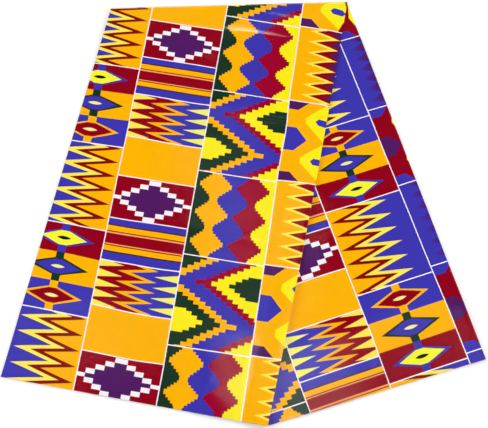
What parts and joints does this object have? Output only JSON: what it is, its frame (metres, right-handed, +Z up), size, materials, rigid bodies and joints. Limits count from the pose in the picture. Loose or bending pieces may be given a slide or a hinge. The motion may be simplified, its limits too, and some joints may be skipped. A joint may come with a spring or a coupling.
{
  "type": "folded african print fabric",
  "caption": "Cut length of glossy printed cotton, doubled lengthwise and folded over at the top, its two legs spread like an upside-down V.",
  "frame": {"origin": "bottom centre of the whole, on the surface that the cloth lies on", "axes": "+X along the top fold, from the free edges to the rolled edge, +Y towards the top fold, +Z up off the surface"},
  "size_m": [1.0496, 1.0156, 0.0148],
  "materials": {
    "printed_cotton": "glazed plain-weave cotton, printed all over in golden orange, yellow, dark red, violet-blue, purple and dark green with thin pale lines, softly glossy"
  },
  "bodies": {
    "root": {"print_cloth": "printed_cotton"}
  },
  "joints": []
}
